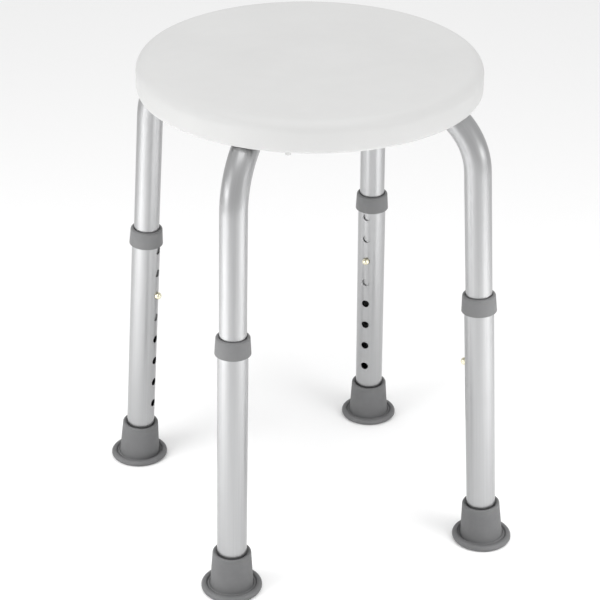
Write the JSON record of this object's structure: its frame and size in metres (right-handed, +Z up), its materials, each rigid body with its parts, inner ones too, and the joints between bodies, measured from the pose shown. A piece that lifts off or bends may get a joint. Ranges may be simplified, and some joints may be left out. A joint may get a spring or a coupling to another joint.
{
  "type": "shower stool",
  "caption": "Round backless shower stool with a white moulded seat on two crossed U-shaped aluminium tube frames, with height-adjustable legs, snap buttons and rubber feet.",
  "frame": {"origin": "on the floor under the middle of the seat", "axes": "+Z up, -Y the front and +X the right; the legs stand on the diagonals"},
  "size_m": [0.3258, 0.3258, 0.474],
  "materials": {
    "seat_plastic": "smooth satin moulded polyethylene",
    "upper_tube": "satin clear-anodised",
    "lower_tube": "satin clear-anodised",
    "collar_plastic": "fine matt",
    "foot_rubber": "matt moulded",
    "button_brass": "polished",
    "spring_steel": "plain rolled",
    "steel": "bright zinc"
  },
  "bodies": {
    "frame": {"seat": "seat_plastic", "cross_frame_upper": "upper_tube", "cross_frame_lower": "upper_tube", "centre_bolt": "steel", "centre_washer": "steel", "centre_nut": "steel", "seat_screws": "steel", "spring_clip_front_left": "spring_steel", "spring_clip_front_right": "spring_steel", "spring_clip_rear_left": "spring_steel", "spring_clip_rear_right": "spring_steel"},
    "leg_front_left": {"leg_tube_front_left": "lower_tube", "collar_front_left": "collar_plastic", "foot_front_left": "foot_rubber", "foot_washer_front_left": "steel"},
    "snap_front_left": {"button_front_left": "button_brass"},
    "leg_front_right": {"leg_tube_front_right": "lower_tube", "collar_front_right": "collar_plastic", "foot_front_right": "foot_rubber", "foot_washer_front_right": "steel"},
    "snap_front_right": {"button_front_right": "button_brass"},
    "leg_rear_left": {"leg_tube_rear_left": "lower_tube", "collar_rear_left": "collar_plastic", "foot_rear_left": "foot_rubber", "foot_washer_rear_left": "steel"},
    "snap_rear_left": {"button_rear_left": "button_brass"},
    "leg_rear_right": {"leg_tube_rear_right": "lower_tube", "collar_rear_right": "collar_plastic", "foot_rear_right": "foot_rubber", "foot_washer_rear_right": "steel"},
    "snap_rear_right": {"button_rear_right": "button_brass"}
  },
  "joints": [
    {"name": "height_front_left", "type": "slide", "parent": "frame", "child": "leg_front_left", "axis": [-0.0185, -0.0185, -0.9997], "range_m": [-0.1016, 0.0508]},
    {"name": "press_front_left", "type": "slide", "parent": "frame", "child": "snap_front_left", "axis": [-0.7069, -0.7069, 0.0262], "range_m": [0, 0.0064], "stiffness_N_per_m": 900, "springref_m": -0.003, "deforming": ["spring_clip_front_left"]},
    {"name": "height_front_right", "type": "slide", "parent": "frame", "child": "leg_front_right", "axis": [0.0432, -0.0432, -0.9981], "range_m": [-0.1016, 0.0508]},
    {"name": "press_front_right", "type": "slide", "parent": "frame", "child": "snap_front_right", "axis": [0.7058, -0.7058, 0.061], "range_m": [0, 0.0064], "stiffness_N_per_m": 900, "springref_m": -0.003, "deforming": ["spring_clip_front_right"]},
    {"name": "height_rear_left", "type": "slide", "parent": "frame", "child": "leg_rear_left", "axis": [-0.0432, 0.0432, -0.9981], "range_m": [-0.1016, 0.0508]},
    {"name": "press_rear_left", "type": "slide", "parent": "frame", "child": "snap_rear_left", "axis": [-0.7058, 0.7058, 0.061], "range_m": [0, 0.0064], "stiffness_N_per_m": 900, "springref_m": -0.003, "deforming": ["spring_clip_rear_left"]},
    {"name": "height_rear_right", "type": "slide", "parent": "frame", "child": "leg_rear_right", "axis": [0.0185, 0.0185, -0.9997], "range_m": [-0.1016, 0.0508]},
    {"name": "press_rear_right", "type": "slide", "parent": "frame", "child": "snap_rear_right", "axis": [0.7069, 0.7069, 0.0262], "range_m": [0, 0.0064], "stiffness_N_per_m": 900, "springref_m": -0.003, "deforming": ["spring_clip_rear_right"]}
  ]
}
